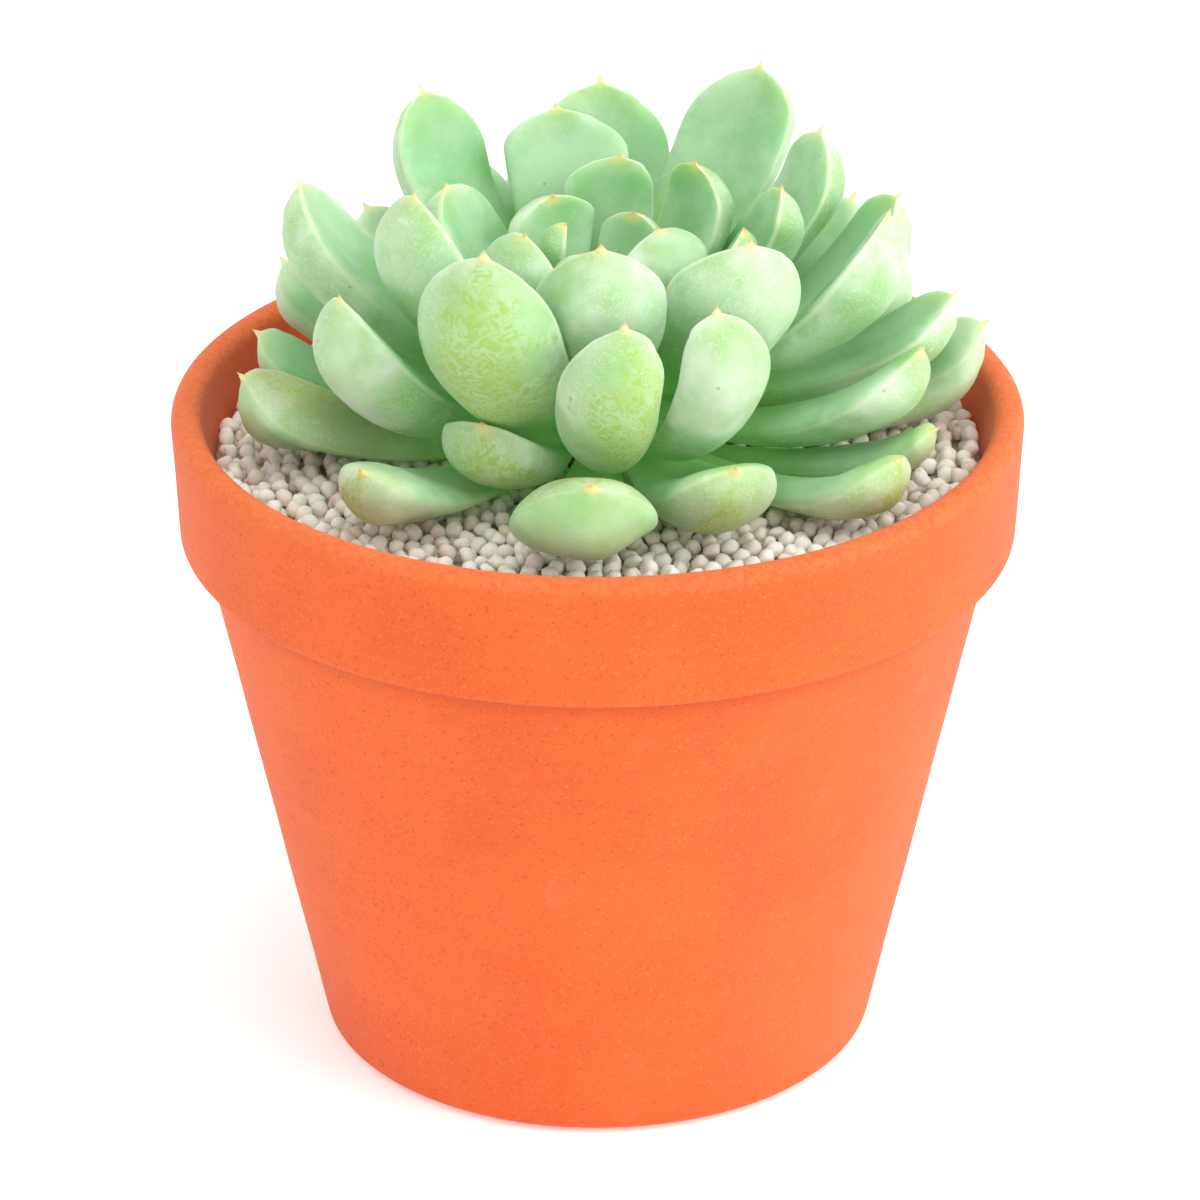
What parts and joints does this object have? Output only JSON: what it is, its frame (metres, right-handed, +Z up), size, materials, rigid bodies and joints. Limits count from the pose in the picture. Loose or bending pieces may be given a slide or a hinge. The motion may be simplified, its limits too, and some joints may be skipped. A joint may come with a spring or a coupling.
{
  "type": "potted succulent",
  "caption": "Rosette-forming succulent with plump pointed leaves on a short stem, growing in a rimmed terracotta pot topped with pale round gravel; stands on its flat base.",
  "frame": {"origin": "centre of the pot's underside", "axes": "+Z up along the pot's axis, -Y towards the side that the picture shows"},
  "size_m": [0.11, 0.11, 0.123],
  "materials": {
    "terracotta": "unglazed orange terracotta, matte, faintly pitted",
    "soil": "dark brown potting mix, dull and crumbly",
    "gravel": "off-white rounded granules, matte",
    "stem": "short green-brown stem, dull",
    "leaf": "fleshy mint green with powdery pale bloom, satin"
  },
  "bodies": {
    "root": {"pot": "terracotta", "potting_soil": "soil", "gravel_topping": "gravel", "stem": "stem", "leaf_01": "leaf", "leaf_02": "leaf", "leaf_03": "leaf", "leaf_04": "leaf", "leaf_05": "leaf", "leaf_06": "leaf", "leaf_07": "leaf", "leaf_08": "leaf", "leaf_09": "leaf", "leaf_10": "leaf", "leaf_11": "leaf", "leaf_12": "leaf", "leaf_13": "leaf", "leaf_14": "leaf", "leaf_15": "leaf", "leaf_16": "leaf", "leaf_17": "leaf", "leaf_18": "leaf", "leaf_19": "leaf", "leaf_20": "leaf", "leaf_21": "leaf", "leaf_22": "leaf", "leaf_23": "leaf", "leaf_24": "leaf", "leaf_25": "leaf", "leaf_26": "leaf", "leaf_27": "leaf", "leaf_28": "leaf", "leaf_29": "leaf", "leaf_30": "leaf", "leaf_31": "leaf", "leaf_32": "leaf", "leaf_33": "leaf", "leaf_34": "leaf", "leaf_35": "leaf", "leaf_36": "leaf", "leaf_37": "leaf", "leaf_38": "leaf", "leaf_39": "leaf", "leaf_40": "leaf", "leaf_41": "leaf", "leaf_42": "leaf", "leaf_43": "leaf", "leaf_44": "leaf", "leaf_45": "leaf", "leaf_46": "leaf", "leaf_47": "leaf", "leaf_48": "leaf", "leaf_49": "leaf"}
  },
  "joints": []
}
